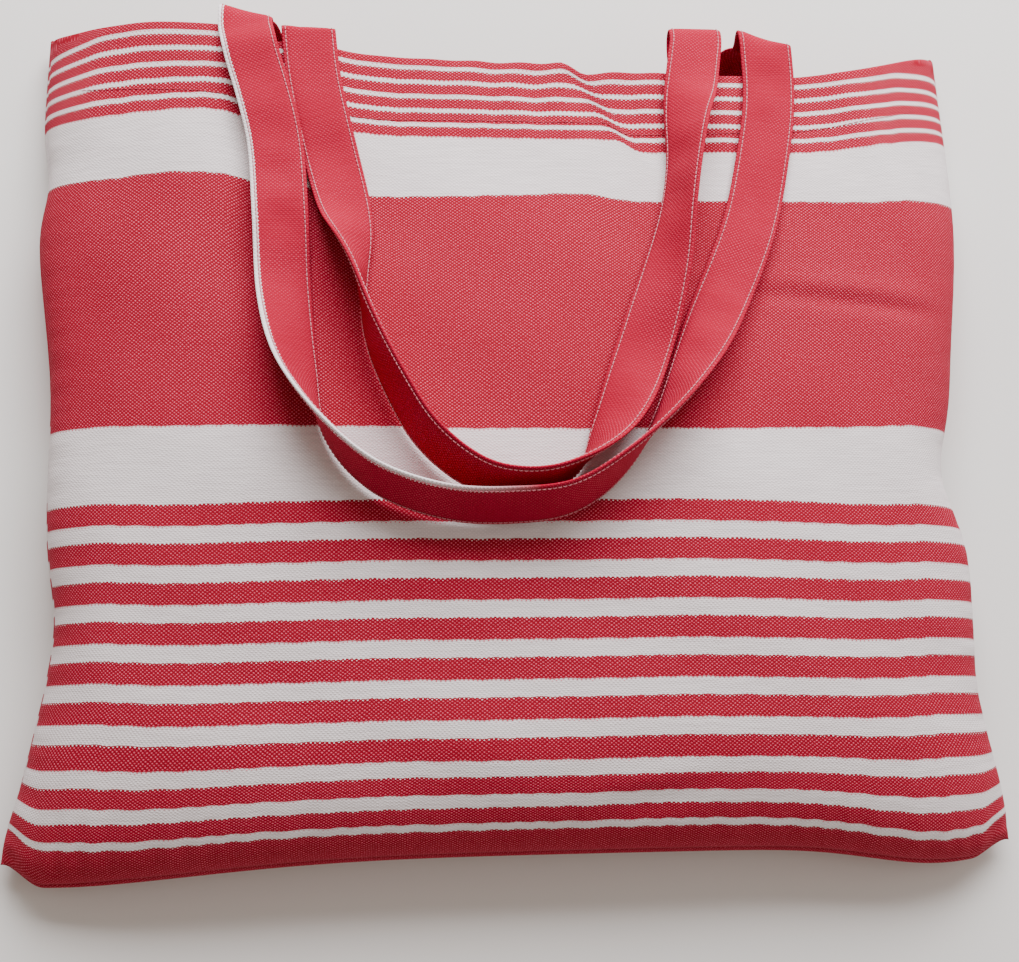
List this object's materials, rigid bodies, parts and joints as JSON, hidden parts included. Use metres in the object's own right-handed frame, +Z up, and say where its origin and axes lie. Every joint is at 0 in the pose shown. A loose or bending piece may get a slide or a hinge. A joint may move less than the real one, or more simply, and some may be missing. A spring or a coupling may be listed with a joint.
{
  "type": "striped cotton tote bag",
  "caption": "Rectangular striped cotton tote bag lying filled out on its back panel, with an open mouth and fabric strap handles flopped over the front.",
  "frame": {"origin": "middle of the footprint, on the surface the back panel lies on", "axes": "+X across the bag to the right seen from the front, +Y from the bottom seam towards the mouth, +Z up out of the front panel"},
  "size_m": [0.45, 0.385, 0.0865],
  "materials": {
    "striped_cotton": "matt woven cotton in red and off-white stripes",
    "overlocked_seam": "overlocked raw edges of the striped cotton",
    "red_cotton": "matt woven red cotton, folded and topstitched",
    "thread": "matt polyester sewing thread"
  },
  "bodies": {
    "bag": {"front_panel": "striped_cotton", "back_panel": "striped_cotton", "front_hem": "striped_cotton", "back_hem": "striped_cotton", "left_side_seam": "overlocked_seam", "right_side_seam": "overlocked_seam", "bottom_seam": "overlocked_seam", "front_handle_left_end": "red_cotton", "front_handle_right_end": "red_cotton", "back_handle_left_end": "red_cotton", "back_handle_right_end": "red_cotton", "front_hem_thread": "thread", "back_hem_thread": "thread", "front_handle_tacks": "thread", "back_handle_tacks": "thread"},
    "front_loop": {"front_handle": "red_cotton", "front_handle_thread": "thread"},
    "back_loop": {"back_handle": "red_cotton", "back_handle_thread": "thread"}
  },
  "joints": [
    {"name": "front_handle_swing", "type": "hinge", "parent": "bag", "child": "front_loop", "pos_m": [0, 0.18249, 0.04034], "axis": [-0.9995, 0, 0.0312], "range_deg": [0, 165]},
    {"name": "back_handle_swing", "type": "hinge", "parent": "bag", "child": "back_loop", "pos_m": [0, 0.18249, 0.04034], "axis": [-0.9995, 0, 0.0312], "range_deg": [0, 165]}
  ]
}
